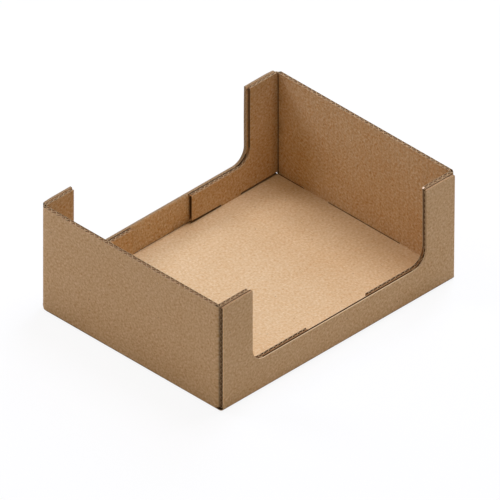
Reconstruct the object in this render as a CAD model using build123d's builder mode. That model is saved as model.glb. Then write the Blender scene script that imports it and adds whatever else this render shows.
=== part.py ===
"""Open-fronted tray folded and glued from one die-cut sheet of corrugated board (millimetres, +Z up).

The sheet's base folds up into two low-cut side walls (+X and -X) and two full-height end walls
(+Y and -Y). Each end wall carries two flaps that turn through its vertical folds and lie flat
against the inside of the side walls. The board's flutes are open wherever the sheet is cut across
them. The origin is the middle of the underside.
"""
import os
from math import atan2, degrees

from build123d import *

# Outside sizes of the folded tray
tray_length = 390.0
tray_width = 300.0
tray_height = 148.0

# The board and its folds
board = 4.5
crease_radius = 0.6
glue_gap = 0.25

# Side walls: raw ends stand back from the end walls, the middle is cut low between corner posts
side_set_back = 5.3
low_height = 44.0
post_width = 52.0
cutout_radius = 20.0

# Flaps glued inside the side walls, cut out a little wider, with one foot each that reaches the base
flap_length = 147.0
flap_clear = 2.0
flap_drop = 0.5
flap_lift = 2.0
foot_lift = 0.3
foot_width = 31.5
foot_from_end = 82.0

# Cuts half through the board along the folds between the base and the end walls
score_width = 1.2
score_depth = 2.2
score_outer = 42.0
score_bridge = 40.0

# Corners of the blank: a thin lip of base is left under a small relief hole
corner_lip = 1.0
relief_radius = 2.4

# Section of the board: two liners and a fluted sheet, seen as open flutes at the cut edges
flute_pitch = 7.8
liner = 0.5
flute_sheet = 0.4
flute_web = 0.55
flute_tip = 0.9
flute_depth = 12.0
groove_depth = 2.5
flute_margin = 1.0

# Values that follow from the sizes above
fold_radius = crease_radius + board
fold_bisector = 45.0
quarter_turn = 90.0
half_turn = 180.0
inner_width = tray_width - 2 * (board + glue_gap)
inner_span = inner_width - 2 * board
side_end = tray_length / 2 - side_set_back
post_edge = tray_length / 2 - post_width
flap_edge = post_edge + flap_clear
flap_low = low_height - flap_drop
flap_end = tray_length / 2 - flap_length
flap_fold = tray_length / 2 - fold_radius
flap_bottom = board + flap_lift
foot_spread = tray_length - 2 * foot_from_end
score_middle = inner_span - 2 * (score_outer + score_bridge)
relief_height = corner_lip + relief_radius
relief_reach = fold_radius + relief_radius
flute_rise = board - 2 * liner - flute_sheet
flute_foot = flute_pitch - 2 * flute_web - flute_tip
flank_angle = degrees(atan2(2 * flute_rise, flute_foot - flute_tip))
groove_width = board - 2 * liner
groove_end = groove_depth + flute_margin


def flute_row(length):
    """Ends of the flutes along X on both sides of the fluted sheet, as many as fit the length."""
    count = max(2, int(length / flute_pitch))
    with BuildSketch() as row:
        with GridLocations(flute_pitch, 0, count, 1):
            with Locations((0, -flute_sheet / 2)):
                Trapezoid(flute_foot, flute_rise, flank_angle)
        with GridLocations(flute_pitch, 0, count - 1, 1):
            with Locations((0, flute_sheet / 2)):
                Trapezoid(flute_foot, flute_rise, flank_angle, rotation=half_turn)
    return row.sketch


# Reaches of the cut edges that the flutes run out to, as start and end along the edge
low_reach = (flap_end + groove_end, flap_edge - flute_margin)
top_reach = (flap_edge + groove_end, flap_fold - flute_margin)
raw_reach = (fold_radius + flute_margin, tray_height - groove_end)
free_reach = (low_height + flute_margin, tray_height - groove_end)

end_row = flute_row(inner_width - 2 * fold_radius)
low_row = flute_row(low_reach[1] - low_reach[0])
top_row = flute_row(top_reach[1] - top_reach[0])
raw_row = flute_row(raw_reach[1] - raw_reach[0])
free_row = flute_row(free_reach[1] - free_reach[0])

with BuildPart() as tray:
    # Base and four walls: a round-cornered block hollowed to the thickness of the board
    with BuildSketch():
        Rectangle(tray_width, tray_length)
    extrude(amount=tray_height)
    fillet(tray.edges().filter_by(Axis.Z), radius=fold_radius)
    fillet(tray.faces().sort_by(Axis.Z)[0].edges(), radius=fold_radius)
    offset(amount=-board, openings=tray.faces().sort_by(Axis.Z)[-1])

    # Corner slots of the blank, which free the side walls from the end walls and their flaps
    with BuildSketch(Plane.XY.offset(corner_lip)):
        with GridLocations(0, tray_length - side_set_back, 1, 2):
            Rectangle(tray_width, side_set_back)
        RectangleRounded(inner_width, tray_length, fold_radius, mode=Mode.SUBTRACT)
    extrude(amount=tray_height, mode=Mode.SUBTRACT)

    # Flaps, with the vertical folds that join them to the end walls
    with BuildSketch(Plane.XY.offset(flap_bottom)):
        RectangleRounded(inner_width, tray_length, fold_radius)
        RectangleRounded(inner_span, tray_length - 2 * board, crease_radius, mode=Mode.SUBTRACT)
        Rectangle(inner_width, 2 * flap_end, mode=Mode.SUBTRACT)
    extrude(amount=tray_height - flap_bottom)

    # One foot under each flap
    with BuildSketch(Plane.XY.offset(board + foot_lift)):
        with GridLocations(inner_width - board, foot_spread, 2, 2):
            Rectangle(board, foot_width)
    extrude(amount=flap_lift)

    # Low middle of both sides: through the side walls, then wider and deeper through the flaps
    with BuildSketch(Plane.YZ):
        with Locations((0, tray_height)):
            RectangleRounded(2 * post_edge, 2 * (tray_height - low_height), cutout_radius)
    extrude(amount=tray_width / 2, both=True, mode=Mode.SUBTRACT)
    with BuildSketch(Plane.YZ):
        with Locations((0, tray_height)):
            RectangleRounded(2 * flap_edge, 2 * (tray_height - flap_low), cutout_radius)
    extrude(amount=inner_width / 2, both=True, mode=Mode.SUBTRACT)

    # Half cuts in the inner corner of the two end folds: one long in the middle, one at each side
    for middle, length in (
        (0, score_middle),
        ((inner_span - score_outer) / 2, score_outer),
        ((score_outer - inner_span) / 2, score_outer),
    ):
        with BuildSketch(Plane.YZ.offset(middle)):
            for end in (-1, 1):
                with Locations((end * (tray_length / 2 - board), board)):
                    Rectangle(score_width, 2 * score_depth, rotation=end * fold_bisector)
        extrude(amount=length / 2, both=True, mode=Mode.SUBTRACT)

    # Relief hole through each bottom corner, above the lip
    for side in (-1, 1):
        for end in (-1, 1):
            fold_centre = Vector(
                side * (inner_width / 2 - fold_radius), end * (tray_length / 2 - fold_radius), relief_height
            )
            with BuildSketch(Plane(origin=fold_centre, z_dir=(side, end, 0))):
                Circle(relief_radius)
            extrude(amount=relief_reach, mode=Mode.SUBTRACT)

    # Upright flutes open at the top of the end walls and of the flaps' posts
    with BuildSketch(Plane.XY.offset(tray_height)):
        with GridLocations(0, tray_length - board, 1, 2):
            add(end_row)
        with GridLocations(inner_width - board, top_reach[0] + top_reach[1], 2, 2):
            add(top_row, rotation=quarter_turn)
    extrude(amount=-flute_depth, mode=Mode.SUBTRACT)

    # Upright flutes open along the low edge of the flaps and its round corners
    with BuildSketch(Plane.XY.offset(flap_low - flute_depth)):
        with GridLocations(inner_width - board, low_reach[0] + low_reach[1], 2, 2):
            add(low_row, rotation=quarter_turn)
    extrude(amount=tray_height, mode=Mode.SUBTRACT)

    # Level flutes open at the raw ends of the side walls and at the free edges of their posts
    for end in (-1, 1):
        with BuildSketch(Plane.XZ.offset(-end * side_end)):
            with GridLocations(tray_width - board, 0, 2, 1):
                with Locations((0, (raw_reach[0] + raw_reach[1]) / 2)):
                    add(raw_row, rotation=quarter_turn)
        extrude(amount=end * flute_depth, mode=Mode.SUBTRACT)
        with BuildSketch(Plane.XZ.offset(-end * (post_edge + flute_depth))):
            with GridLocations(tray_width - board, 0, 2, 1):
                with Locations((0, (free_reach[0] + free_reach[1]) / 2)):
                    add(free_row, rotation=quarter_turn)
        extrude(amount=end * (flute_depth + cutout_radius), mode=Mode.SUBTRACT)

    # Edges cut along a flute lay it open as a groove: low edges and post tops of the side walls
    with BuildSketch(Plane.XY.offset(low_height)):
        with GridLocations(tray_width - board, 0, 2, 1):
            Rectangle(groove_width, 2 * (post_edge - cutout_radius))
    extrude(amount=-groove_depth, mode=Mode.SUBTRACT)
    with BuildSketch(Plane.XY.offset(tray_height)):
        with GridLocations(tray_width - board, post_edge + side_end, 2, 2):
            Rectangle(groove_width, post_width)
    extrude(amount=-groove_depth, mode=Mode.SUBTRACT)

    # The same groove down the end of each flap and down the free edge of its post
    with BuildSketch(Plane.XY.offset(tray_height)):
        with GridLocations(inner_width - board, 2 * flap_end + groove_depth, 2, 2):
            Rectangle(groove_width, groove_depth)
    extrude(amount=-tray_height + flap_bottom, mode=Mode.SUBTRACT)
    with BuildSketch(Plane.XY.offset(tray_height)):
        with GridLocations(inner_width - board, 2 * flap_edge + groove_depth, 2, 2):
            Rectangle(groove_width, groove_depth)
    extrude(amount=-tray_height + low_height + cutout_radius, mode=Mode.SUBTRACT)

tray.part.label = "tray"

os.makedirs("parts", exist_ok=True)
export_step(tray.part, "parts/tray.step")
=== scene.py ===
import math

import bmesh
import bpy
import numpy as np
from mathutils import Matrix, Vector


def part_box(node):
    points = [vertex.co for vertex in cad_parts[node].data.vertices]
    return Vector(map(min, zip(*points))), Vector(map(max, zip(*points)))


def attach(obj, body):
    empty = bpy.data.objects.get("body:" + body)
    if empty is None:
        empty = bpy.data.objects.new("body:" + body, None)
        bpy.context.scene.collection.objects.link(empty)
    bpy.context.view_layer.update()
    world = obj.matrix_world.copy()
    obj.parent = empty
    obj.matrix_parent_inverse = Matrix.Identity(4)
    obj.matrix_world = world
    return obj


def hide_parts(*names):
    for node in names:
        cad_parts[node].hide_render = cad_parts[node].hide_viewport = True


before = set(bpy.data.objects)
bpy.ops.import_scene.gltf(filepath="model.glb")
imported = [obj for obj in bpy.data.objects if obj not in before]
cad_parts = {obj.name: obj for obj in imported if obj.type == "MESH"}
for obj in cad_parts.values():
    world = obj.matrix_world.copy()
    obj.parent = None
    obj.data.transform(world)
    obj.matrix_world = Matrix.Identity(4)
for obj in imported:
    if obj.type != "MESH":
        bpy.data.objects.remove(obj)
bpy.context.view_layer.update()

mm = 0.001
quarter = math.pi / 2
scene = bpy.context.scene
scene.view_settings.view_transform = "Standard"

# The folded sheet, in millimetres: outside sizes come from the frame, the rest follows the part's source.
# Side -1 is the far side wall and 1 the near one, end -1 is the front wall and 1 the rear one.
boxLow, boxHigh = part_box("tray")
tray = {
    "width": (boxHigh.x - boxLow.x) / mm,
    "length": (boxHigh.y - boxLow.y) / mm,
    "height": (boxHigh.z - boxLow.z) / mm,
    "board": 4.5,
    "creaseRadius": 0.6,
    "glueGap": 0.25,
    "sideSetBack": 5.3,  # the side walls end this far short of the end walls
    "lowHeight": 44.0,
    "postWidth": 52.0,
    "cutoutRadius": 20.0,
    "flapLength": 147.0,
    "flapClear": 2.0,  # the flaps are cut out wider than the side walls
    "flapDrop": 0.5,  # and lower
    "flapLift": 2.6,  # lower edge of a flap above the base
    "flapEndLift": 4.0,  # a flap's end stands higher
    "footLift": 0.05,
    "footWidth": 31.5,
    "footFromEnd": 82.0,
    "scoreOuter": 42.0,  # cut from the flap's inner face to the first bridge
    "scoreBridge": 40.0,  # uncut fold between two cuts
    "liner": 0.5,  # paper of the two faces
    "medium": 0.7,  # paper of the flutes, drawn thicker than real so that its cut edge shows
    "flutePitch": 7.8,
    "grooveDepth": 2.5,  # open flute along an edge that is cut along the flutes
}

# What handling has done to this sheet, in millimetres, and the painted shade and shadow on its folds.
wear = {
    "edgeCrush": {-1: (0.2, 1.7), 1: (0.2, 0.3)},  # outer and inner face pressed in at edges along the flutes
    "crushReach": {-1: 14.0, 1: 3.5},  # how far in from the edge the board is pressed
    "flapSquash": {-1: 1.5, 1: 0.0},  # a glued flap is pressed thinner towards its fold
    "topSwell": {-1: (0.7, 0.4), 1: (0.0, 0.4)},  # an end wall's cut top swells outwards and inwards
    "swellReach": 5.0,  # from this far below the top
    "rawRound": 1.4,  # the raw ends of the side walls are worn round at the top
    "rawReach": (6.0, 8.0),  # along the top and down the end
    "foldNotch": 1.3,  # the upright folds end lower than the walls
    "notchReach": 8.0,  # dipping from this far below the top
    "postBow": 0.5,  # the outer sheet of the left rear post stands off its flap
    "rawEnds": {  # how far each raw end stands out from its place, at the bottom and at the top
        (1, -1): (2.4, 2.4),
        (1, 1): (-1.5, 0.2),
        (-1, -1): (-2.0, -2.0),
        (-1, 1): (1.3, 1.3),
    },
    "flapEnds": {(1, -1): 1.5, (1, 1): -3.5, (-1, -1): 0.0, (-1, 1): 0.0},  # how much longer each flap is
    "flapEndFrom": 6.0,  # past its foot, where that starts
    "lips": {(1, -1): 10, (1, 1): 0, (-1, -1): 0, (-1, 1): 6},  # steps of a fold left as a lip at each corner
    "holeFrom": {(1, -1): 0.15, (1, 1): 0.6, (-1, -1): 0.1, (-1, 1): 0.6},  # share where its hole starts
    "sideContactShadow": ((-195, 0, 100, 195), (0.9, 1.0, 1.15, 1.3)),  # places along the side folds, and the strength of the painted contact shadow at each
    "endContactShadow": ((-150, 0, 90, 150), (1.25, 1.1, 0.6, 0.3)),  # and along the end folds
    "contactShadowTurn": (0.55, 0.22),  # middle and half width of that painted shadow, as shares of a fold's turn
    "gapTurn": (0.48, 0.2),  # start and width of the painted shade towards the slot behind a raw end
}

foldRadius = tray["board"] + tray["creaseRadius"]
halfWidth = tray["width"] / 2
halfLength = tray["length"] / 2
baseX = halfWidth - foldRadius  # where the side folds start
baseY = halfLength - foldRadius  # where the end folds start
sideEnd = halfLength - tray["sideSetBack"]  # raw ends of the side walls
flapX = halfWidth - tray["board"] - tray["glueGap"]  # outer face of the flaps
endX = flapX - foldRadius  # where an end wall turns into its flaps
flapEnd = halfLength - tray["flapLength"]
footMiddle = halfLength - tray["footFromEnd"]
footStart, footStop = footMiddle - tray["footWidth"] / 2, footMiddle + tray["footWidth"] / 2
bridgeFar = flapX - tray["board"] - tray["scoreOuter"]
bridgeNear = bridgeFar - tray["scoreBridge"]
foldArc = (foldRadius - tray["board"] / 2) * quarter  # length of a fold along the middle of the board
wallStart = baseX + foldArc - foldRadius  # place on the flat blank of a side wall at height 0
endStart = baseY + foldArc - foldRadius  # of an end wall at height 0
flapStart = endX + foldArc + baseY  # of a flap at the middle of the tray


def cutout(post, low):  # a low cut: its free post edge, round corner and level edge
    radius = tray["cutoutRadius"]
    return {"post": post, "low": low, "arc": post - radius, "arcTop": low + radius, "radius": radius}


sideCut = cutout(halfLength - tray["postWidth"], tray["lowHeight"])
flapCut = cutout(sideCut["post"] + tray["flapClear"], tray["lowHeight"] - tray["flapDrop"])
print("sheet of", *(round(tray[size], 1) for size in ("width", "length", "height")), "mm")

# Divisions of the sheet in millimetres, shared so that neighbouring grids meet point to point.
grid = {
    "panel": 12.0,  # longest step on a flat panel
    "foldSteps": 14,
    "arcSteps": 10,
    "footRamp": 0.8,  # a flap's lower edge runs down to its foot over this length
    "endRamp": 1.0,  # the painted shadow on the base below a flap grows from this far before the flap's end to as far after it
    "edge": 1.5,  # last step before a raw end
    "crushShares": (0.45, 0.75),  # extra rows where an edge is crushed, as shares of its reach
    "underFlap": (1.0, 1.9),  # past the start of the upright folds, where the base darkens with painted shadow
    "closest": 0.05,  # of two columns nearer than this one is left out
    "touch": 0.01,  # rounding allowed when rows are picked
    "merge": 0.004,  # points nearer than this are one
    "sharpAngle": 35.0,  # degrees
}


def spread(step, *stops):  # even divisions from stop to stop, each no longer than the step
    runs = []
    for first, last in zip(stops, stops[1:]):
        runs.append(np.linspace(first, last, max(2, math.ceil(abs(last - first) / step) + 1))[1:])
    return np.concatenate([[stops[0]], *runs])


def within(values, first, last):  # the divisions from first to last, both kept in spite of rounding
    return values[(values > first - grid["touch"]) & (values < last + grid["touch"])]


def wallRows(cut):  # heights of a wall with a low cut: up to its level edge, and from there to the top
    low, top = cut["low"], tray["height"]
    strip = spread(grid["panel"], foldRadius, low - crushStart)
    lower = np.concatenate([strip, low - crushSteps[::-1], [low]])
    posts = spread(grid["panel"], cut["arcTop"], top - crushStart)
    upper = np.concatenate([low + arcShares * cut["radius"], posts[1:], top - crushSteps[::-1], [top]])
    return lower, upper


def arcColumns(cut):  # even angles of a quarter circle: its radius times their sines
    return cut["arc"] + cut["radius"] * np.sin(np.linspace(0, quarter, grid["arcSteps"] + 1))


crushStart = wear["crushReach"][1]
crushSteps = np.array(grid["crushShares"]) * crushStart
turns = np.linspace(0, 1, grid["foldSteps"] + 1)  # shares of a fold's quarter turn
arcShares = np.linspace(0, 1, grid["arcSteps"] + 1)
sideLower, sideUpper = wallRows(sideCut)
flapLower, flapUpper = wallRows(flapCut)
endRows = np.concatenate([flapLower, flapUpper[1:]])
sideArc, flapArc = arcColumns(sideCut), arcColumns(flapCut)
postColumns = np.append(spread(grid["panel"], sideCut["post"], sideEnd - grid["edge"]), sideEnd)
middleColumns = spread(
    grid["panel"], -sideCut["arc"], -flapEnd - grid["endRamp"], grid["endRamp"] - flapEnd,
    flapEnd - grid["endRamp"], flapEnd + grid["endRamp"], sideCut["arc"],
)
sideColumns = np.concatenate([
    -postColumns[::-1], -sideArc[::-1][1:], middleColumns[1:], sideArc[1:], postColumns[1:],
])
lengthColumns = np.concatenate([[-baseY], sideColumns, [baseY]])
endColumns = spread(grid["panel"], -endX, -bridgeFar, -bridgeNear, bridgeNear, bridgeFar, endX)
underFlap = endX + np.array(grid["underFlap"])
widthColumns = np.concatenate([[-baseX], -underFlap[::-1], endColumns, underFlap, [baseX]])
flapColumns = np.unique(np.concatenate([
    [flapEnd], flapEnd + crushSteps, spread(grid["panel"], flapEnd + crushStart, flapCut["arc"]), flapArc,
    [flapCut["post"]], flapCut["post"] + crushSteps,
    spread(grid["panel"], flapCut["post"] + crushStart, baseY - grid["footRamp"]), [baseY],
    [footStart - grid["footRamp"], footStart, footStop, footStop + grid["footRamp"]],
]))
flapColumns = flapColumns[np.concatenate([[True], np.diff(flapColumns) > grid["closest"]])]


def arcHeight(y, cut):
    # lower edge of a cut: level, then centre height of the round less the root of radius² less way in²
    inside = np.clip(np.abs(y) - cut["arc"], 0, cut["radius"])
    return cut["arcTop"] - np.sqrt(np.maximum(cut["radius"] ** 2 - inside**2, 0))


def flapBottom(y):  # straight runs: lifted off the base, down to the foot, and at last beside the end wall
    lifted, foot, ramp = tray["board"] + tray["flapLift"], tray["board"] + tray["footLift"], grid["footRamp"]
    stops = [flapEnd, footStart - ramp, footStart, footStop, footStop + ramp, baseY - ramp, baseY]
    raised = tray["board"] + tray["flapEndLift"]
    return np.interp(y, stops, [raised, lifted, foot, foot, lifted, lifted, foldRadius])


def crushed(y, z, cut, alongFlutes, side):
    # 1 at a cut edge that runs along the flutes, 0 inside the sheet: one less the distance from the cut over
    # the reach, squared, times the squared cosine of the edge's angle to the flutes; a cut top fades alike
    overY, underZ = np.maximum(np.abs(y) - cut["arc"], 0), np.maximum(cut["arcTop"] - z, 0)
    fromCentre = np.maximum(np.hypot(overY, underZ), 1e-6)  # never 0, as it divides
    square = ((underZ if alongFlutes == "y" else overY) / fromCentre) ** 2
    reach = wear["crushReach"][side]
    edge = 1 - np.clip((fromCentre - cut["radius"]) / reach, 0, 1)
    top = (1 - np.clip((tray["height"] - z) / reach, 0, 1)) ** 2 if alongFlutes == "y" else 0.0
    return np.maximum(square * edge**2, top)


def crushShift(depth, side):  # the outer face moves in, the inner face out, and layers between in proportion
    outer, inner = wear["edgeCrush"][side]
    share = depth / tray["board"]
    return outer * (1 - share) - inner * share


def sideDepth(y, z, depth, side):  # depth from a side wall's outer face, shifted where its edges are crushed
    return depth + crushShift(depth, side) * crushed(y, z, sideCut, "y", side)


def flapDepth(y, z, depth, side):  # depth from a flap's outer face, pressed in proportion towards its fold
    towardsFold = np.clip((y - flapEnd) / (baseY - flapEnd), 0, 1)
    pressed = wear["flapSquash"][side] * towardsFold * depth / tray["board"]
    return depth - pressed + crushShift(depth, 1) * crushed(y, z, flapCut, "z", 1)


def endDepth(z, depth, end, side=0, turn=0.0):
    # depth from an end wall's outer face: its top swells as the square of the way up the reach, and round an
    # upright fold the swell fades with the turn while the flap's pressing grows as the turn squared
    outwards, inwards = wear["topSwell"][end]
    share = depth / tray["board"]
    rise = 1 - np.clip((tray["height"] - z) / wear["swellReach"], 0, 1)
    swell = (inwards * share - outwards * (1 - share)) * rise**2
    pressed = wear["flapSquash"][side] * share * turn**2 if side else 0.0
    return depth + swell * (1 - turn) - pressed


def fluteDepth(across):  # the fluting swings between the liners as a cosine of the place across the flutes
    swing = (tray["board"] - 2 * tray["liner"] - tray["medium"]) / 2
    return tray["board"] / 2 + swing * np.cos(2 * np.pi * across / tray["flutePitch"])


def foldLine(turn, depth, folds):  # quarter turn about a centre, its radius swelled by a bell-shaped groove
    radius = foldRadius - depth + folds["depth"] * np.exp(-(((turn - 0.5) / folds["spread"]) ** 2))
    return radius * np.sin(turn * quarter), radius * np.cos(turn * quarter)


def paintedCreaseShade(turn, folds):  # painted shade in a fold: a bell curve over the turn, darkest in the middle of the fold
    return folds["shade"] * np.exp(-(((turn - 0.5) / folds["width"]) ** 2))


def paintedContactShadow(turn, folds, place, stops):  # painted contact shadow: a bell curve low on the turn, times its strength at that place
    middle, width = wear["contactShadowTurn"]
    return folds["contactShadow"] * np.interp(place, *stops) * np.exp(-(((turn - middle) / width) ** 2))


def paintedCornerShade(distance, strength):  # painted shade in the inner corners: fades in a straight line over one step of a panel
    return strength * np.clip(1 - distance / grid["panel"], 0, 1)


def settle(points, panel):  # small shifts of handling: each is a size times shares from 0 to 1 over the panel
    kind, side, end = panel
    x, y, z = points[..., 0], points[..., 1], points[..., 2]
    if kind == "side":
        rise = np.clip(z / tray["height"], 0, 1)
        for which in (-1, 1):  # the raw ends are cut a little out of place and out of square
            bottom, top = wear["rawEnds"][side, which]
            share = np.clip((which * y - sideCut["post"]) / (sideEnd - sideCut["post"]), 0, 1)
            y = y + which * (bottom + (top - bottom) * rise) * share * np.clip(z / foldRadius, 0, 1)
        along, down = wear["rawReach"]
        rawEdge = np.clip((np.abs(points[..., 1]) - sideEnd + along) / along, 0, 1) ** 2
        z = z - wear["rawRound"] * rawEdge * np.clip((z - tray["height"] + down) / down, 0, 1)
        if side < 0:  # the left rear post bows out as half a sine wave over its height
            free = np.interp(y, [sideCut["arc"], sideCut["post"], sideEnd], [0, 1, 0])
            over = np.clip((z - sideCut["low"]) / (tray["height"] - sideCut["low"]), 0, 1)
            x = x - wear["postBow"] * free * np.sin(np.pi * over)
    if kind == "flap":  # a flap is longer or shorter from past its foot on
        stretchFrom = footStart - wear["flapEndFrom"]
        share = np.clip((stretchFrom - np.abs(y)) / (stretchFrom - flapEnd), 0, 1)
        y = y - end * wear["flapEnds"][side, end] * share
    if kind == "corner":  # the upright folds dip at the top as a sine squared of their turn
        turn = np.clip(np.arctan2(np.abs(x) - endX, np.abs(y) - baseY) / quarter, 0, 1)
        rise = np.clip((z - tray["height"] + wear["notchReach"]) / wear["notchReach"], 0, 1)
        z = z - wear["foldNotch"] * np.sin(np.pi * turn) ** 2 * rise**2
    return np.stack([x, y, z], axis=-1)


def patch(place, blank, facing, panel=("base", 0, 0), shade=0.0):
    # one grid of the sheet: points, their place on the flat blank and a painted shade, wound to look as
    # facing says
    points = np.stack(np.broadcast_arrays(*place), axis=-1).astype(float)
    flat = np.stack(np.broadcast_arrays(*blank, shade, place[0])[:3], axis=-1).astype(float)
    acrossStep, alongStep = points[:-1, 1:] - points[:-1, :-1], points[1:, :-1] - points[:-1, :-1]
    normal = np.cross(acrossStep, alongStep).sum((0, 1))
    points = settle(points, panel)
    if normal @ np.array(facing, float) < 0:
        points, flat = points[:, ::-1], flat[:, ::-1]
    return points, flat


def wallPatch(side, y, z, depth, facing, shade=0.0):  # a grid of a side wall, at a depth from its outer face
    place, blank = (side * (halfWidth - depth), y, z), (side * (wallStart + z), y)
    return patch(place, blank, facing, ("side", side, 0), shade)


def endPatch(end, x, z, depth, facing, shade=0.0):  # of an end wall
    place, blank = (x, end * (halfLength - depth), z), (x, end * (endStart + z))
    return patch(place, blank, facing, ("end", 0, end), shade)


def flapPatch(side, end, y, z, depth, facing, shade=0.0):  # of a flap
    place, blank = (side * (flapX - depth), end * y, z), (side * (flapStart - y), end * (endStart + z))
    return patch(place, blank, facing, ("flap", side, end), shade)


def uprightPatch(side, end, turn, z, depth, folds, look, shade=0.0):  # of the fold from end wall to flap
    out, on = foldLine(turn, depth, folds)
    place = side * (endX + out), end * (baseY + on), z
    blank = side * (endX + foldArc * turn), end * (endStart + z)
    return patch(place, blank, (side * look, end * look, 0), ("corner", side, end), shade)


def sheetMesh(name, patches, thickness, materials):  # grids joined to one sheet, then given its thickness
    corners, flats, quads, count = [], [], [], 0
    for points, flat in patches:
        rows, columns = points.shape[:2]
        index = np.arange(rows * columns).reshape(rows, columns) + count
        around = index[:-1, :-1], index[:-1, 1:], index[1:, 1:], index[1:, :-1]
        quads.append(np.stack(around, -1).reshape(-1, 4))
        corners.append(points.reshape(-1, 3))
        flats.append(flat.reshape(-1, 3))
        count += rows * columns
    mesh = bpy.data.meshes.new(name)
    mesh.from_pydata(np.concatenate(corners) * mm, [], np.concatenate(quads))
    loopVertex = np.empty(len(mesh.loops), int)
    mesh.loops.foreach_get("vertex_index", loopVertex)
    flat = np.concatenate(flats)
    blankMap = mesh.uv_layers.new(name="blank")  # place on the flat blank, in metres
    blankMap.data.foreach_set("uv", (flat[:, :2] * mm)[loopVertex].ravel())
    # painted shade of each point, and painted highlight where it is below 0
    mesh.attributes.new("paintedShade", "FLOAT", "POINT").data.foreach_set("value", flat[:, 2])
    work = bmesh.new()
    work.from_mesh(mesh)
    bmesh.ops.remove_doubles(work, verts=work.verts, dist=grid["merge"] * mm)
    work.to_mesh(mesh)
    work.free()
    piece = bpy.data.objects.new(name, mesh)
    scene.collection.objects.link(piece)
    for material in materials:  # face, side towards the flutes, cut edge
        mesh.materials.append(material)
    solid = piece.modifiers.new("paper", "SOLIDIFY")
    solid.thickness = thickness * mm
    solid.offset = 0
    solid.material_offset = 1
    solid.material_offset_rim = 2
    finished = bpy.data.meshes.new_from_object(piece.evaluated_get(bpy.context.evaluated_depsgraph_get()))
    piece.modifiers.clear()
    piece.data = finished
    bpy.data.meshes.remove(mesh)
    finished.name = name
    finished.polygons.foreach_set("use_smooth", np.ones(len(finished.polygons), bool))
    finished.set_sharp_from_angle(angle=math.radians(grid["sharpAngle"]))
    print(name, len(finished.polygons), "faces")
    return piece


def nodeTree(owner):  # an empty node tree for a material or the world
    owner.use_nodes = True
    owner.node_tree.nodes.clear()
    return owner.node_tree


def addNode(tree, kind, inputs=None, **settings):
    # a node with its settings; a socket among the inputs is linked, and so is the first output of a node
    node = tree.nodes.new(kind)
    for name, value in settings.items():
        setattr(node, name, value)
    for name, value in (inputs or {}).items():
        if isinstance(value, bpy.types.Node):
            value = value.outputs[0]
        if isinstance(value, bpy.types.NodeSocket):
            tree.links.new(value, node.inputs[name])
        else:
            node.inputs[name].default_value = value
    return node


def colour(code):  # sRGB hex to linear
    channels = [int(code[k:k + 2], 16) / 255 for k in (0, 2, 4)]
    return [c / 12.92 if c <= 0.04045 else ((c + 0.055) / 1.055) ** 2.4 for c in channels] + [1]


# Patterns of kraft pulp: length and width of a spot in millimetres, its turn in degrees, and finer detail.
# Real fibres are about 3 mm long and 0.03 mm wide, so they and the flecks are drawn coarse enough to show.
pulp = {
    "fibre": (4.0, 1.4, 6.0, 2.0),
    "crossFibre": (4.0, 1.4, 95.0, 2.0),
    "fleck": (2.9, 2.9, 30.0, 2.0),
    "mottle": (11.0, 11.0, 0.0, 2.0),
    "cloud": (60.0, 60.0, 0.0, 1.0),
}
specks = {"apart": 16.0, "radius": 0.72, "bare": 0.72}  # spacing and largest radius in mm, share left out
uncoated = {"Roughness": 0.9, "Specular IOR Level": 0.2}  # pressed fibres: matt, with hardly any sheen
fibrous = {"Roughness": 0.95, "Specular IOR Level": 0.1}  # cut and torn fibres: none at all

# Outside: the calendered face, a dull olive brown with short fibres and pale flecks all over.
outsideLook = {
    "dark": "BA9059",
    "pale": "DDBD92",
    "fibre": 0.7,  # how far each pattern moves the colour from dark to pale
    "crossFibre": 0.7,
    "fleck": 1.3,
    "mottle": 0.19,
    "cloud": 0.15,
    "speck": 0.45,  # how much darker a speck is
    "washboard": 0.02,  # height of the flutes that show through, in mm
    "grain": 0.12,  # and of the fibres
    "wallGrain": 0.0,  # how much stronger the patterns are on the walls than on the base
    "wallHue": 0.0,  # and how the walls' colour differs from the base's, a painted tone of light and shade on them
    "wallSaturation": 0.0,
    "wallValue": 0.0,
}
# Inside: the rougher face, a warmer and paler brown on which the flutes show as a faint washboard.
insideLook = {
    "dark": "BC925C",
    "pale": "D8C097",
    "fibre": 0.5,
    "crossFibre": 0.5,
    "fleck": 0.95,
    "mottle": 0.15,
    "cloud": 0.19,
    "speck": 0.45,
    "washboard": 0.10,
    "grain": 0.5,
    "wallGrain": 0.8,
    "wallHue": -0.005,
    "wallSaturation": 0.02,
    "wallValue": 0.02,
}


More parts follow.
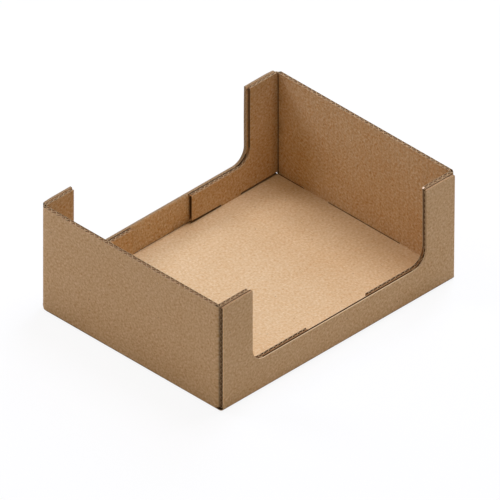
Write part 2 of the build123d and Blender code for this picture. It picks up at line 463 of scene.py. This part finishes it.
def kraftPaper(name, look):
    # the colour lies between dark and pale pulp at the sum of the noise patterns, each about its middle; on
    # the walls a painted tone of light and shade shifts it, specks and the painted shade darken it, where
    # that shade is below 0 it is a painted highlight that pales it, and a sine wave of the flutes with the
    # fibres gives it a relief
    material = bpy.data.materials.new(name)
    tree = nodeTree(material)
    blank = addNode(tree, "ShaderNodeUVMap", uv_map="blank")
    place = addNode(tree, "ShaderNodeSeparateXYZ", {0: blank}).outputs
    beyond = []
    for axis, foldStart in enumerate((baseX, baseY)):
        off = addNode(tree, "ShaderNodeMath", {0: place[axis]}, operation="ABSOLUTE")
        beyond.append(addNode(tree, "ShaderNodeMath", {0: off, 1: foldStart * mm}, operation="GREATER_THAN"))
    onWall = addNode(tree, "ShaderNodeMath", dict(enumerate(beyond)), operation="MAXIMUM")  # 0 on the base

    patterns = {}
    share = -0.5 * sum(look[kind] for kind in pulp)
    for kind, (length, width, turn, detail) in pulp.items():
        angle = math.radians(turn)
        turned = addNode(tree, "ShaderNodeVectorRotate", {0: blank, "Angle": angle}, rotation_type="Z_AXIS")
        scale = 1 / (length * mm), 1 / (width * mm), 1
        scaled = addNode(tree, "ShaderNodeMapping", {"Vector": turned, "Scale": scale})
        spots = {"Vector": scaled, "Scale": 1.0, "Detail": detail}
        patterns[kind] = addNode(tree, "ShaderNodeTexNoise", spots, noise_dimensions="2D")
        terms = {0: patterns[kind], 1: look[kind], 2: share}
        share = addNode(tree, "ShaderNodeMath", terms, operation="MULTIPLY_ADD")
    terms = {0: onWall, 1: look["wallGrain"], 2: 1.0}
    stronger = addNode(tree, "ShaderNodeMath", terms, operation="MULTIPLY_ADD")
    share = addNode(tree, "ShaderNodeMath", {0: share, 1: stronger, 2: 0.5}, operation="MULTIPLY_ADD")
    ends = {0: share, 6: colour(look["dark"]), 7: colour(look["pale"])}  # 6 and 7 are the Mix node's colours
    mixed = addNode(tree, "ShaderNodeMix", ends, data_type="RGBA", clamp_factor=False).outputs[2]

    scale = 1 / (specks["apart"] * mm), 1 / (specks["apart"] * mm), 1
    scattered = addNode(tree, "ShaderNodeMapping", {"Vector": blank, "Scale": scale})
    spots = {"Vector": scattered, "Scale": 1.0}
    cells = addNode(tree, "ShaderNodeTexVoronoi", spots, voronoi_dimensions="2D")
    draw = addNode(tree, "ShaderNodeSeparateColor", {0: cells.outputs["Color"]}).outputs
    largest = specks["radius"] / specks["apart"]
    radius = addNode(tree, "ShaderNodeMath", {0: draw[0], 1: largest}, operation="MULTIPLY")
    dot = addNode(tree, "ShaderNodeMath", {0: cells, 1: radius}, operation="LESS_THAN")
    kept = addNode(tree, "ShaderNodeMath", {0: draw[1], 1: specks["bare"]}, operation="GREATER_THAN")
    speck = addNode(tree, "ShaderNodeMath", {0: dot, 1: kept}, operation="MULTIPLY")

    terms = {0: speck, 1: -look["speck"], 2: 1.0}
    unspecked = addNode(tree, "ShaderNodeMath", terms, operation="MULTIPLY_ADD")
    # painted shade and highlight carried by each point of the sheet
    paintedShading = addNode(tree, "ShaderNodeAttribute", attribute_name="paintedShade").outputs["Fac"]
    afterPaintedShade = addNode(tree, "ShaderNodeMath", {0: 1.0, 1: paintedShading}, operation="SUBTRACT")
    tone = {}
    for part, plain in (("Hue", 0.5), ("Saturation", 1.0), ("Value", 1.0)):  # plain on the base, a painted tone of light and shade on the walls
        terms = {0: onWall, 1: look["wall" + part], 2: plain}
        tone[part] = addNode(tree, "ShaderNodeMath", terms, operation="MULTIPLY_ADD")
    for darker in (unspecked, afterPaintedShade):
        tone["Value"] = addNode(tree, "ShaderNodeMath", {0: tone["Value"], 1: darker}, operation="MULTIPLY")
    tinted = addNode(tree, "ShaderNodeHueSaturation", {"Color": mixed, **tone})

    waves = 2 * math.pi / (tray["flutePitch"] * mm)
    phase = addNode(tree, "ShaderNodeMath", {0: place[0], 1: waves}, operation="MULTIPLY")
    ridge = addNode(tree, "ShaderNodeMath", {0: phase}, operation="SINE")
    grain = addNode(tree, "ShaderNodeMath", {0: patterns["fibre"], 1: look["grain"]}, operation="MULTIPLY")
    terms = {0: ridge, 1: look["washboard"], 2: grain}
    height = addNode(tree, "ShaderNodeMath", terms, operation="MULTIPLY_ADD")
    bump = addNode(tree, "ShaderNodeBump", {"Height": height, "Distance": mm, "Strength": 1.0})
    shader = addNode(tree, "ShaderNodeBsdfPrincipled", {"Base Color": tinted, "Normal": bump, **uncoated})
    addNode(tree, "ShaderNodeOutputMaterial", {"Surface": shader})
    return material


def plainPaper(name, code):  # cut, torn or soaked paper: one plain colour
    material = bpy.data.materials.new(name)
    tree = nodeTree(material)
    shader = addNode(tree, "ShaderNodeBsdfPrincipled", {"Base Color": colour(code), **fibrous})
    addNode(tree, "ShaderNodeOutputMaterial", {"Surface": shader})
    return material


kraftOuter = kraftPaper("kraft liner outside", outsideLook)
kraftInner = kraftPaper("kraft liner inside", insideLook)
hidden = plainPaper("kraft liner towards the flutes", "6E5232")  # dark brown, painted shade behind the open flutes
cutEdge = plainPaper("cut edge of liner", "A28764")  # thin paler line round every face
fluting = plainPaper("fluting paper", "866645")  # dull brown wave inside the board
dusty = plainPaper("dusty fluting paper", "895D33")  # redder fill below the low edges
flutingEdge = plainPaper("cut edge of fluting", "AE946C")  # row of pale teeth along the cut tops
closedEdge = plainPaper("board crushed at a cut", "8C7454")  # grey brown band with no flutes left to see
pressedEdge = plainPaper("board pressed flat at a cut", "9E7C56")  # the same, paler and narrower
rolledEdge = plainPaper("liner rolled over at a cut", "C3A67E")  # pale rim where the face turns over
farSlotShade = plainPaper("painted shade deep in a slot", "3A2816")  # nearly black line of painted shade in a slot
nearSlotShade = plainPaper("painted shade in an open slot", "84603C")  # brown line of painted shade between wall and flap
rawEndShade = plainPaper("painted shade behind a raw end", "54381E")  # dark ground of painted shade behind a raw end
tornHighlight = plainPaper("torn fibres with a painted highlight", "F8DCBA")  # one bright fluffy spot: torn fibres, their near white a painted highlight
print("papers ready")

# How the folds of each face are pressed, and the shade, shadow and highlight painted on and beside them:
# widths are shares of a fold's turn, shade 1 is black.
outerFolds = {
    "depth": 0.0,  # groove along a fold in mm
    "spread": 1.0,  # its half width
    "shade": 0.0,  # painted shade in the groove
    "width": 1.0,  # half width of that shade
    "under": 0.0,  # painted shadow on the base below the flaps
    "contactShadow": 0.75,  # painted contact shadow along the folds that the tray stands on
    "gapShade": 0.52,  # painted shade on the upright folds towards the slot behind a raw end
    "wallCornerShade": 0.0,  # painted shade on an end wall beside its upright folds
    "flapCornerShade": 0.0,  # and on a flap
    "rawEdge": 0.5,  # painted highlight: how much paler the front raw ends are
}
innerFolds = {
    "depth": 2.0,
    "spread": 0.13,
    "shade": 0.9,
    "width": 0.45,
    "under": 0.55,
    "contactShadow": 0.0,
    "gapShade": 0.0,
    "wallCornerShade": 0.12,
    "flapCornerShade": 0.25,
    "rawEdge": 0.0,
}


def basePatch(depth, folds, look):  # the flat base, with painted shadow in a strip below the flaps
    x, y = np.meshgrid(widthColumns, lengthColumns)
    across = np.clip((np.abs(x) - underFlap[0]) / (underFlap[1] - underFlap[0]), 0, 1)
    along = np.clip((np.abs(y) - flapEnd + grid["endRamp"]) / (2 * grid["endRamp"]), 0, 1)
    return patch((x, y, depth), (x, y), (0, 0, -look), shade=folds["under"] * across * along)


def sidePatches(depth, folds, look, side):
    # a side wall: its fold, the strip below the low cut, and at both ends the post and its round corner
    turn, y = np.meshgrid(turns, sideColumns)
    out, up = foldLine(turn, depth, folds)
    place, blank = (side * (baseX + out), y, foldRadius - up), (side * (baseX + foldArc * turn), y)
    shade = paintedCreaseShade(turn, folds) + paintedContactShadow(turn, folds, y, wear["sideContactShadow"])
    made = [patch(place, blank, (side * look, 0, -look), ("side", side, 0), shade)]
    grids = [np.meshgrid(sideColumns, sideLower)]
    for end in (-1, 1):
        grids.append(np.meshgrid(end * postColumns, sideUpper))
        y, share = np.meshgrid(end * sideArc, arcShares)
        grids.append((y, sideCut["low"] + share * (arcHeight(y, sideCut) - sideCut["low"])))
    for y, z in grids:
        rawEdge = np.clip((-y - sideEnd) / grid["edge"] + 1, 0, 1)  # painted highlight, a pale line along the front raw ends
        inset = sideDepth(y, z, depth, side)
        made.append(wallPatch(side, y, z, inset, (side * look, 0, 0), -folds["rawEdge"] * rawEdge))
    return made


def endPatches(depth, folds, look, end):  # an end wall and its fold, inside only the uncut bridges of it
    made = []
    bridges = [(-bridgeFar, -bridgeNear), (bridgeNear, bridgeFar)]
    for first, last in bridges if look < 0 else [(-endX, endX)]:
        x, turn = np.meshgrid(within(endColumns, first, last), turns)
        out, up = foldLine(turn, depth, outerFolds)
        place, blank = (x, end * (baseY + out), foldRadius - up), (x, end * (baseY + foldArc * turn))
        shade = paintedContactShadow(turn, folds, x, wear["endContactShadow"])
        made.append(patch(place, blank, (0, end * look, -look), shade=shade))
    x, z = np.meshgrid(endColumns, endRows)
    shade = paintedCornerShade(endX - np.abs(x), folds["wallCornerShade"])
    made.append(endPatch(end, x, z, endDepth(z, depth, end), (0, end * look, 0), shade))
    return made


def flapPatches(depth, folds, look, side, end):
    # a flap: the upright fold, the strip below its low cut, its post and the round corner between them
    turn, z = np.meshgrid(turns, endRows)
    # painted shade in the fold, and on the outer folds towards the slot behind a raw end
    gapStart, gapWidth = wear["gapTurn"]
    shade = paintedCreaseShade(turn, folds) + folds["gapShade"] * np.clip((turn - gapStart) / gapWidth, 0, 1)
    made = [uprightPatch(side, end, turn, z, endDepth(z, depth, end, side, turn), folds, look, shade)]
    shares = (flapLower - flapLower[0]) / (flapLower[-1] - flapLower[0])
    y, share = np.meshgrid(flapColumns, shares)
    grids = [(y, flapBottom(y) + share * (flapCut["low"] - flapBottom(y)))]
    grids.append(np.meshgrid(within(flapColumns, flapCut["post"], baseY), flapUpper))
    y, share = np.meshgrid(within(flapColumns, flapCut["arc"], flapCut["post"]), arcShares)
    grids.append((y, flapCut["low"] + share * (arcHeight(y, flapCut) - flapCut["low"])))
    for y, z in grids:
        shade = paintedCornerShade(baseY - y, folds["flapCornerShade"])
        made.append(flapPatch(side, end, y, z, flapDepth(y, z, depth, side), (side * look, 0, 0), shade))
    return made


def lipPatches(depth, side, end):
    # a bottom corner of the blank: a lip that carries both bottom folds on and joins them as part of a ball,
    # and the foot of the upright fold as part of a ball too, cut away below by an oval relief hole
    radius, facing, lipSteps = foldRadius - depth, (side, end, -1), wear["lips"][side, end]
    lipTurns = turns[:lipSteps + 1]
    made = []
    if lipSteps:
        turn, y = np.meshgrid(lipTurns, [sideEnd, baseY])
        out, up = foldLine(turn, depth, outerFolds)
        place = side * (baseX + out), end * y, foldRadius - up
        made.append(patch(place, (side * (baseX + foldArc * turn), end * y), facing))
        x, turn = np.meshgrid([endX, baseX], lipTurns)
        out, up = foldLine(turn, depth, outerFolds)
        place = side * x, end * (baseY + out), foldRadius - up
        made.append(patch(place, (side * x, end * (baseY + foldArc * turn)), facing))
        swing, turn = np.meshgrid(turns * quarter, lipTurns)
        ring, up = foldLine(turn, depth, outerFolds)
        x, y = side * (baseX + ring * np.sin(swing)), end * (baseY + ring * np.cos(swing))
        made.append(patch((x, y, foldRadius - up), (x, y), facing))
    lip, hole = lipTurns[-1] * quarter, wear["holeFrom"][side, end] * quarter
    swing, share = np.meshgrid(turns * quarter, np.linspace(0, 1, grid["foldSteps"] - lipSteps + 1))
    opened = np.sqrt(np.clip(1 - ((quarter - swing) / (quarter - hole)) ** 2, 0, 1))
    start = lip + (quarter - lip) * opened
    angle = start + share * (quarter - start)
    ring, z = radius * np.sin(angle), foldRadius - radius * np.cos(angle)
    x, y = side * (endX + ring * np.sin(swing)), end * (baseY + ring * np.cos(swing))
    made.append(patch((x, y, z), (x, end * (endStart + z)), facing))
    return made


def linerPatches(depth, folds, look):  # all panels and folds of one face, which looks out (1) or in (-1)
    made = [basePatch(depth, folds, look)]
    for side in (-1, 1):
        made += sidePatches(depth, folds, look, side)
    for end in (-1, 1):
        made += endPatches(depth, folds, look, end)
        for side in (-1, 1):
            made += flapPatches(depth, folds, look, side, end)
            if look > 0:
                made += lipPatches(depth, side, end)
    return made


half = tray["liner"] / 2
outerPatches = linerPatches(half, outerFolds, 1)
innerPatches = linerPatches(tray["board"] - half, innerFolds, -1)
outerLiner = sheetMesh("outerLiner", outerPatches, tray["liner"], [kraftOuter, hidden, cutEdge])
innerLiner = sheetMesh("innerLiner", innerPatches, tray["liner"], [kraftInner, hidden, cutEdge])

flutes = {
    "steps": 12,  # to a wave
    "sideClear": 1.0,  # the base's wave ends this far inside the side folds
    "endClear": 1.5,  # and inside the end folds
    "topRows": (6.0, 2.0, 0.0),  # below the top of an end wall, where it swells
}


def flutePatches():  # one wave sheet for each panel; its straight lines run along the flutes
    step, groove, top = tray["flutePitch"] / flutes["steps"], tray["grooveDepth"], tray["height"]
    reachX, reachY = baseX - flutes["sideClear"], baseY - flutes["endClear"]
    x, y = np.meshgrid(spread(step, -reachX, reachX), [-reachY, reachY])
    made = [patch((x, y, fluteDepth(x)), (x, y), (0, 0, -1))]
    for side in (-1, 1):
        z, share = np.meshgrid(spread(step, foldRadius, sideCut["low"] - groove), [-1, 1])
        grids = [(share * sideEnd, z)]
        for end in (-1, 1):
            z, share = np.meshgrid(spread(step, sideCut["low"] - groove, top - groove), [0, 1])
            below = np.clip(sideCut["arcTop"] - z, 0, sideCut["radius"])
            inner = sideCut["arc"] + np.sqrt(sideCut["radius"] ** 2 - below**2)
            grids.append((end * (inner + share * (sideEnd - inner)), z))
        for y, z in grids:
            made.append(wallPatch(side, y, z, fluteDepth(wallStart + z), (side, 0, 0)))
    for end in (-1, 1):
        x, z = np.meshgrid(spread(step, -endX, endX), [foldRadius, *(top - np.array(flutes["topRows"]))])
        made.append(endPatch(end, x, z, endDepth(z, fluteDepth(x), end), (0, end, 0)))
        for side in (-1, 1):
            turn, z = np.meshgrid(turns, [foldRadius, top])
            depth = endDepth(0, fluteDepth(endX + foldArc * turn), end, side, turn)
            made.append(uprightPatch(side, end, turn, z, depth, outerFolds, 1))
            freeEdge = flapCut["post"] + groove
            for first, last in ((freeEdge, baseY), (flapEnd + groove, freeEdge)):
                y, share = np.meshgrid(spread(step, first, last), [0, 1])
                upper = top if last == baseY else arcHeight(y, flapCut)
                z = flapBottom(y) + share * (upper - flapBottom(y))
                depth = flapDepth(y, z, fluteDepth(flapStart - y), side)
                made.append(flapPatch(side, end, y, z, depth, (side, 0, 0)))
    return made


flutedMedium = sheetMesh("flutedMedium", flutePatches(), tray["medium"], [fluting, fluting, flutingEdge])


# Strips that close or fill the cut edges, some of them dark sheets of painted shade in slots. Each lies a
# recess below its edge in mm, between two shares of the board's depth from outside, and is a flat grid along
# that edge.
def wallStrips(strip):  # along the named edges of a side wall
    made, side, recess = [], strip["side"], strip["recess"]
    low = np.concatenate([-sideArc[::-1], middleColumns[1:-1], sideArc])
    freeRows = within(sideUpper, sideCut["arcTop"], tray["height"])
    rawRows = np.concatenate([sideLower, sideUpper[1:]])
    runs = {
        "low": [(low, arcHeight(low, sideCut) - recess, (0, 0, 1))],
        "posts": [(end * postColumns, tray["height"] - recess, (0, 0, 1)) for end in (-1, 1)],
        "free": [(end * (sideCut["post"] + recess), freeRows, (0, -end, 0)) for end in (-1, 1)],
        "raw": [(end * (sideEnd - recess), rawRows, (0, end, 0)) for end in (-1, 1)],
    }
    for columns, rows, facing in [run for edge in strip["edges"] for run in runs[edge]]:
        columns, rows = np.broadcast_arrays(columns, rows)
        y, share = np.meshgrid(columns, strip["shares"])
        z = np.broadcast_to(rows, y.shape)
        made.append(wallPatch(side, y, z, sideDepth(y, z, tray["board"] * share, side), facing))
    return made


def flapFreeStrips(strip):  # down the free post edges of the flaps of one side
    made, side = [], strip["side"]
    z, share = np.meshgrid(within(flapUpper, flapCut["arcTop"], tray["height"]), strip["shares"])
    y = np.full_like(z, flapCut["post"] + strip["recess"])
    for end in (-1, 1):
        depth = flapDepth(y, z, tray["board"] * share, side)
        made.append(flapPatch(side, end, y, z, depth, (0, -end, 0)))
    return made


def topStrips(strip):  # below the cut tops of the end walls and of the flaps' posts
    made = []
    for end in (-1, 1):
        x, share = np.meshgrid(endColumns, strip["shares"])
        z = np.full_like(x, tray["height"] - strip["recess"])
        made.append(endPatch(end, x, z, endDepth(z, tray["board"] * share, end), (0, 0, 1)))
        for side in (-1, 1):
            y, share = np.meshgrid(within(flapColumns, flapCut["post"], baseY), strip["shares"])
            z = np.full_like(y, tray["height"] - strip["recess"])
            depth = flapDepth(y, z, tray["board"] * share, side)
            made.append(flapPatch(side, end, y, z, depth, (0, 0, 1)))
    return made


def flapLowStrips(strip):  # below the low edges of the flaps and their round corners
    made = []
    y, share = np.meshgrid(within(flapColumns, flapEnd, flapCut["post"]), strip["shares"])
    for side in (-1, 1):
        z = arcHeight(y, flapCut) - strip["recess"][side]
        depth = flapDepth(y, z, tray["board"] * share, side)
        for end in (-1, 1):
            made.append(flapPatch(side, end, y, z, depth, (0, 0, 1)))
    return made


def slotShadeStrips(strip):  # a dark sheet of painted shade in the slot between a low wall edge and its flaps, with a margin onto both
    made, side = [], strip["side"]
    onWall = tray["board"] - wear["edgeCrush"][side][1] - strip["margin"]
    onFlap = tray["board"] + tray["glueGap"] + strip["margin"]
    y, depth = np.meshgrid(flapColumns[flapColumns < sideCut["post"] - strip["postClear"]], [onWall, onFlap])
    z = arcHeight(y, sideCut) - strip["recess"]
    for end in (-1, 1):
        place, blank = (side * (halfWidth - depth), end * y, z), (side * (wallStart + z), end * y)
        made.append(patch(place, blank, (0, 0, 1)))
    return made


stripThickness = 0.1
slotShadeFarStrip = {"side": -1, "recess": 0.9, "margin": 0.2, "postClear": 0.5}  # the painted shade stops short of the posts
slotShadeFar = sheetMesh("slotShadeFar", slotShadeStrips(slotShadeFarStrip), stripThickness, [farSlotShade] * 3)

# a brown sheet of painted shade over the open slot between the near wall and its flaps
slotShadeNearStrip = {"side": 1, "recess": 0.0, "margin": 0.55, "postClear": 0.5}
slotShadeNear = sheetMesh("slotShadeNear", slotShadeStrips(slotShadeNearStrip), stripThickness, [nearSlotShade] * 3)

closedFarStrip = {"side": -1, "recess": 0.15, "shares": (0.08, 0.92), "edges": ("low", "posts", "free")}
closedFar = sheetMesh("closedFar", wallStrips(closedFarStrip), stripThickness, [closedEdge] * 3)

closedNearStrip = {"side": 1, "recess": 0.3, "shares": (0.1, 0.68), "edges": ("posts",)}
closedNear = sheetMesh("closedNear", wallStrips(closedNearStrip), stripThickness, [pressedEdge] * 3)

rolledStrip = {"side": 1, "recess": 0.1, "shares": (0.08, 0.44), "edges": ("low", "free")}
rolledFlapStrip = {"side": 1, "recess": 0.1, "shares": (0.7, 0.95)}
rolledPatches = wallStrips(rolledStrip) + flapFreeStrips(rolledFlapStrip)
rolledNear = sheetMesh("rolledNear", rolledPatches, stripThickness, [rolledEdge] * 3)

filledStrip = {"side": 1, "recess": 0.8, "shares": (0.1, 0.9), "edges": ("free",)}
filledPatches = topStrips(filledStrip) + wallStrips(filledStrip)
filledFlutes = sheetMesh("filledFlutes", filledPatches, stripThickness, [fluting] * 3)

dustyStrip = {"recess": {-1: 0.8, 1: 1.8}, "shares": (0.1, 0.9)}  # the near flutes are the emptiest
dustyFlutes = sheetMesh("dustyFlutes", flapLowStrips(dustyStrip), stripThickness, [dusty] * 3)

# a dark sheet of painted shade in the slots behind the near raw ends
rawStrip = {"side": 1, "recess": 0.6, "shares": (0.12, 0.95), "edges": ("raw",)}
rawNear = sheetMesh("rawNear", wallStrips(rawStrip), stripThickness, [rawEndShade] * 3)

# A torn bit of paper at the top of the free edge of the near side's rear flap, in millimetres.
torn = {
    "steps": 6,
    "shares": (0.25, 0.8),  # of the board's depth
    "rooted": 1.3,  # inside the edge
    "length": 2.4,
    "rise": 0.15,
    "droop": 1.0,
    "thickness": 0.2,
}


def tornPatch(bit):  # straight across, and drooping as the square of its length
    shares = np.linspace(0, 1, bit["steps"] + 1)
    along, across = np.meshgrid(shares, shares)
    first, last = bit["shares"]
    x = flapX - tray["board"] * (first + (last - first) * across)
    y = flapCut["post"] + bit["rooted"] - bit["length"] * along
    z = tray["height"] + bit["rise"] - bit["droop"] * along**2
    return patch((x, y, z), (flapStart - y, endStart + z), (0, 0, 1))


tornBit = sheetMesh("tornBit", [tornPatch(torn)], torn["thickness"], [tornHighlight] * 3)

for piece in (
    outerLiner, innerLiner, flutedMedium, slotShadeFar, slotShadeNear, closedFar, closedNear, rolledNear, filledFlutes,
    dustyFlutes, rawNear, tornBit,
):
    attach(piece, "root")
    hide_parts("tray")
print("sheet ready")

# Camera: the photograph is close to an isometric view with no perspective, so the lens is orthographic.
view = {
    "azimuth": 44.96,
    "elevation": 35.07,
    "mmPerPixel": 1.163,
    "imageSize": 500,
    "cornerPixel": (220.64, 412.75),  # of the sharp lower corner that front and near side would meet in
    "distance": 2.0,
}
azimuth, elevation = math.radians(view["azimuth"]), math.radians(view["elevation"])
level, rise = math.cos(elevation), math.sin(elevation)
back = Vector((math.sin(azimuth) * level, -math.cos(azimuth) * level, rise))
right = Vector((math.cos(azimuth), math.sin(azimuth), 0))
up = back.cross(right)
pixel = view["mmPerPixel"] * mm
middlePixel = (view["imageSize"] - 1) / 2
cornerAcross, cornerDown = view["cornerPixel"]
aim = Vector((halfWidth, -halfLength, 0)) * mm
aim += right * (middlePixel - cornerAcross) * pixel + up * (cornerDown - middlePixel) * pixel
cameraData = bpy.data.cameras.new("camera")
cameraData.type = "ORTHO"
cameraData.ortho_scale = view["imageSize"] * pixel
camera = bpy.data.objects.new("camera", cameraData)
scene.collection.objects.link(camera)
camera.location = aim + back * view["distance"]
camera.rotation_mode = "QUATERNION"
camera.rotation_quaternion = (-back).to_track_quat("-Z", "Y")
scene.camera = camera
print("camera ready")

# Stage, in metres: a white floor, soft lamps above, behind and to the left, and a low even fill.
stage = {
    "floorHalf": 20.0,
    "floorWhite": "EDEDED",
    "plainWhite": "FFFFFF",
    "floorGlow": 0.9,  # share of the floor that is seen as plain white, so that a soft shadow stays
    "contact": 0.0006,  # around the object the floor is seen darker
    "contactSamples": 8,
    "fill": 0.14,
    "fillTint": (1.25, 1.0, 0.6, 1),
    "lampDistance": 3.0,
    "lampWidth": 1.1,
    "lamps": {  # slant to the left and to the rear in degrees, watts, tint
        "above": (-4.0, 0.0, 15.6, (1.12, 1.0, 1.0)),
        "rear": (0.0, 20.0, 46.3, (0.98, 1.0, 1.24)),
        "rearLeft": (22.0, 42.0, 29.0, (0.75, 1.0, 1.5)),
        "frontLeft": (42.0, -22.0, 27.4, (1.0, 1.0, 1.24)),
    },
}


def plainRays(tree):  # 1 for rays that show the background: seen directly, mirrored or through glass
    path = addNode(tree, "ShaderNodeLightPath").outputs
    bent = {0: path["Is Glossy Ray"], 1: path["Is Transmission Ray"]}
    mirrored = addNode(tree, "ShaderNodeMath", bent, operation="MAXIMUM")
    return addNode(tree, "ShaderNodeMath", {0: path["Is Camera Ray"], 1: mirrored}, operation="MAXIMUM")


reach = stage["floorHalf"]
floorCorners = [(-reach, -reach, 0), (reach, -reach, 0), (reach, reach, 0), (-reach, reach, 0)]
floorMesh = bpy.data.meshes.new("floor")
floorMesh.from_pydata(floorCorners, [], [(0, 1, 2, 3)])
floor = bpy.data.objects.new("floor", floorMesh)
scene.collection.objects.link(floor)
floorPaper = bpy.data.materials.new("white paper sweep")  # matt white that keeps the object's soft shadow
tree = nodeTree(floorPaper)
white = colour(stage["plainWhite"])
matt = addNode(tree, "ShaderNodeBsdfDiffuse", {"Color": colour(stage["floorWhite"])})
glow = addNode(tree, "ShaderNodeEmission", {"Color": white, "Strength": 1.0})
around = {"Distance": stage["contact"]}
near = addNode(tree, "ShaderNodeAmbientOcclusion", around, samples=stage["contactSamples"]).outputs["AO"]
share = addNode(tree, "ShaderNodeMath", {0: near, 1: stage["floorGlow"]}, operation="MULTIPLY")
seen = addNode(tree, "ShaderNodeMixShader", {0: share, 1: matt, 2: glow})
surface = addNode(tree, "ShaderNodeMixShader", {0: plainRays(tree), 1: matt, 2: seen})
addNode(tree, "ShaderNodeOutputMaterial", {"Surface": surface})
floorMesh.materials.append(floorPaper)

for name, (left, rear, watts, tint) in stage["lamps"].items():
    lampData = bpy.data.lights.new(name, "AREA")
    lampData.shape = "SQUARE"
    lampData.size = stage["lampWidth"]
    lampData.energy = watts
    lampData.color = tint
    lamp = bpy.data.objects.new(name, lampData)
    scene.collection.objects.link(lamp)
    towards = Vector((-math.tan(math.radians(left)), math.tan(math.radians(rear)), 1)).normalized()
    lamp.location = towards * stage["lampDistance"]
    lamp.rotation_mode = "QUATERNION"
    lamp.rotation_quaternion = towards.to_track_quat("Z", "Y")

world = bpy.data.worlds.new("studio")
scene.world = world
tree = nodeTree(world)
ambient = addNode(tree, "ShaderNodeBackground", {"Color": stage["fillTint"], "Strength": stage["fill"]})
backdrop = addNode(tree, "ShaderNodeBackground", {"Color": white, "Strength": 1.0})
mixed = addNode(tree, "ShaderNodeMixShader", {0: plainRays(tree), 1: ambient, 2: backdrop})
addNode(tree, "ShaderNodeOutputWorld", {"Surface": mixed})
print("stage ready")
